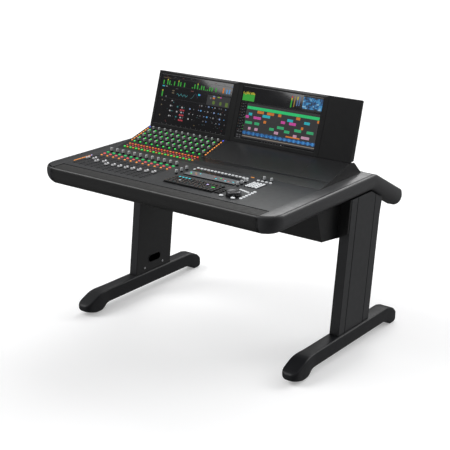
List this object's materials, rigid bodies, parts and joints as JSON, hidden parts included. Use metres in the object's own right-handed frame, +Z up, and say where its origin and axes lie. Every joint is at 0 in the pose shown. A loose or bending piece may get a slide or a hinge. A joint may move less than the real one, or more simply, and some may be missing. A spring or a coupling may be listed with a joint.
{
  "type": "audio mixing console",
  "caption": "Free-standing audio mixing console with upright screens, sliding faders, turning knobs, a jog wheel, key pads and a padded armrest, on slim legs with arched feet.",
  "frame": {"origin": "middle of the footprint at floor level", "axes": "+X to the operator's right, along the longest side; +Y from the operator towards the rear; +Z up"},
  "size_m": [1.29, 1.072, 1.1234],
  "materials": {
    "rail": "dark cool grey, fine texture, satin",
    "armrest": "warm dark grey, soft grained cover",
    "nose": "black, satin moulded edge",
    "panel": "dark grey anodised, satin",
    "slope": "near-black anodised, satin",
    "housing": "near-black, fine texture",
    "screen": "black glass-like face",
    "chassis": "black powder coat",
    "leg": "dark grey powder coat, satin",
    "plate": "black powder coat, matt",
    "foot": "black powder coat on a casting, satin",
    "board": "green circuit board",
    "supply": "plain sheet, brushed",
    "knob": "turned, satin",
    "fader": "white moulded cap",
    "wheel": "dark anodised, turned",
    "dark_key": "black key caps",
    "light_key": "white key caps"
  },
  "bodies": {
    "console": {"right_side_rail": "rail", "left_side_rail": "rail", "front_nose": "nose", "armrest_pad": "armrest", "fader_panel": "panel", "editor_panel": "panel", "deck_tray": "chassis", "button_strip": "slope", "knob_slope_panel": "slope", "centre_slope_panel": "slope", "right_slope_panel": "slope", "right_cheek": "housing", "left_cheek": "housing", "left_display_bezel": "housing", "right_display_bezel": "housing", "left_screen": "screen", "right_screen": "screen", "blank_display_panel": "housing", "display_rear_cover": "housing", "electronics_tub": "chassis", "rear_hood": "chassis", "power_supply": "supply", "processor_board": "board", "connector_panel": "supply", "right_leg_column": "leg", "left_leg_column": "leg", "right_leg_plate": "plate", "left_leg_plate": "plate", "right_foot": "foot", "left_foot": "foot", "keyboard": "dark_key", "keypad": "light_key", "editor_display": "screen"},
    "fader_01": {"fader_cap_01": "fader"},
    "knob_01": {"channel_knob_01": "knob"},
    "fader_02": {"fader_cap_02": "fader"},
    "knob_02": {"channel_knob_02": "knob"},
    "fader_03": {"fader_cap_03": "fader"},
    "knob_03": {"channel_knob_03": "knob"},
    "fader_04": {"fader_cap_04": "fader"},
    "knob_04": {"channel_knob_04": "knob"},
    "fader_05": {"fader_cap_05": "fader"},
    "knob_05": {"channel_knob_05": "knob"},
    "fader_06": {"fader_cap_06": "fader"},
    "knob_06": {"channel_knob_06": "knob"},
    "fader_07": {"fader_cap_07": "fader"},
    "knob_07": {"channel_knob_07": "knob"},
    "fader_08": {"fader_cap_08": "fader"},
    "knob_08": {"channel_knob_08": "knob"},
    "fader_09": {"fader_cap_09": "fader"},
    "knob_09": {"channel_knob_09": "knob"},
    "fader_10": {"fader_cap_10": "fader"},
    "knob_10": {"channel_knob_10": "knob"},
    "fader_11": {"fader_cap_11": "fader"},
    "knob_11": {"channel_knob_11": "knob"},
    "fader_12": {"fader_cap_12": "fader"},
    "knob_12": {"channel_knob_12": "knob"},
    "jog": {"jog_wheel": "wheel"},
    "stop": {"stop_key": "light_key"},
    "play": {"play_key": "light_key"}
  },
  "joints": [
    {"name": "fader_slide_01", "type": "slide", "parent": "console", "child": "fader_01", "axis": [0, 1, 0], "range_m": [-0.063, 0.037]},
    {"name": "fader_slide_02", "type": "slide", "parent": "console", "child": "fader_02", "axis": [0, 1, 0], "range_m": [-0.07, 0.03]},
    {"name": "fader_slide_03", "type": "slide", "parent": "console", "child": "fader_03", "axis": [0, 1, 0], "range_m": [-0.045, 0.055]},
    {"name": "fader_slide_04", "type": "slide", "parent": "console", "child": "fader_04", "axis": [0, 1, 0], "range_m": [-0.058, 0.042]},
    {"name": "fader_slide_05", "type": "slide", "parent": "console", "child": "fader_05", "axis": [0, 1, 0], "range_m": [-0.034, 0.066]},
    {"name": "fader_slide_06", "type": "slide", "parent": "console", "child": "fader_06", "axis": [0, 1, 0], "range_m": [-0.04, 0.06]},
    {"name": "fader_slide_07", "type": "slide", "parent": "console", "child": "fader_07", "axis": [0, 1, 0], "range_m": [-0.042, 0.058]},
    {"name": "fader_slide_08", "type": "slide", "parent": "console", "child": "fader_08", "axis": [0, 1, 0], "range_m": [-0.045, 0.055]},
    {"name": "fader_slide_09", "type": "slide", "parent": "console", "child": "fader_09", "axis": [0, 1, 0], "range_m": [-0.049, 0.051]},
    {"name": "fader_slide_10", "type": "slide", "parent": "console", "child": "fader_10", "axis": [0, 1, 0], "range_m": [-0.051, 0.049]},
    {"name": "fader_slide_11", "type": "slide", "parent": "console", "child": "fader_11", "axis": [0, 1, 0], "range_m": [-0.058, 0.042]},
    {"name": "fader_slide_12", "type": "slide", "parent": "console", "child": "fader_12", "axis": [0, 1, 0], "range_m": [-0.065, 0.035]},
    {"name": "channel_knob_turn_01", "type": "hinge", "parent": "console", "child": "knob_01", "pos_m": [-0.542, -0.164, 0.799], "axis": [0, 0, 1], "continuous": true},
    {"name": "channel_knob_turn_02", "type": "hinge", "parent": "console", "child": "knob_02", "pos_m": [-0.5057, -0.164, 0.799], "axis": [0, 0, 1], "continuous": true},
    {"name": "channel_knob_turn_03", "type": "hinge", "parent": "console", "child": "knob_03", "pos_m": [-0.4694, -0.164, 0.799], "axis": [0, 0, 1], "continuous": true},
    {"name": "channel_knob_turn_04", "type": "hinge", "parent": "console", "child": "knob_04", "pos_m": [-0.4331, -0.164, 0.799], "axis": [0, 0, 1], "continuous": true},
    {"name": "channel_knob_turn_05", "type": "hinge", "parent": "console", "child": "knob_05", "pos_m": [-0.3968, -0.164, 0.799], "axis": [0, 0, 1], "continuous": true},
    {"name": "channel_knob_turn_06", "type": "hinge", "parent": "console", "child": "knob_06", "pos_m": [-0.3605, -0.164, 0.799], "axis": [0, 0, 1], "continuous": true},
    {"name": "channel_knob_turn_07", "type": "hinge", "parent": "console", "child": "knob_07", "pos_m": [-0.3242, -0.164, 0.799], "axis": [0, 0, 1], "continuous": true},
    {"name": "channel_knob_turn_08", "type": "hinge", "parent": "console", "child": "knob_08", "pos_m": [-0.2879, -0.164, 0.799], "axis": [0, 0, 1], "continuous": true},
    {"name": "channel_knob_turn_09", "type": "hinge", "parent": "console", "child": "knob_09", "pos_m": [-0.2516, -0.164, 0.799], "axis": [0, 0, 1], "continuous": true},
    {"name": "channel_knob_turn_10", "type": "hinge", "parent": "console", "child": "knob_10", "pos_m": [-0.2153, -0.164, 0.799], "axis": [0, 0, 1], "continuous": true},
    {"name": "channel_knob_turn_11", "type": "hinge", "parent": "console", "child": "knob_11", "pos_m": [-0.179, -0.164, 0.799], "axis": [0, 0, 1], "continuous": true},
    {"name": "channel_knob_turn_12", "type": "hinge", "parent": "console", "child": "knob_12", "pos_m": [-0.1427, -0.164, 0.799], "axis": [0, 0, 1], "continuous": true},
    {"name": "jog_turn", "type": "hinge", "parent": "console", "child": "jog", "pos_m": [0.334, -0.371, 0.799], "axis": [0, 0, 1], "continuous": true},
    {"name": "stop_key_press", "type": "slide", "parent": "console", "child": "stop", "axis": [0, 0, -1], "range_m": [0, 0.0025], "stiffness_N_per_m": 200},
    {"name": "play_key_press", "type": "slide", "parent": "console", "child": "play", "axis": [0, 0, -1], "range_m": [0, 0.0025], "stiffness_N_per_m": 200}
  ]
}
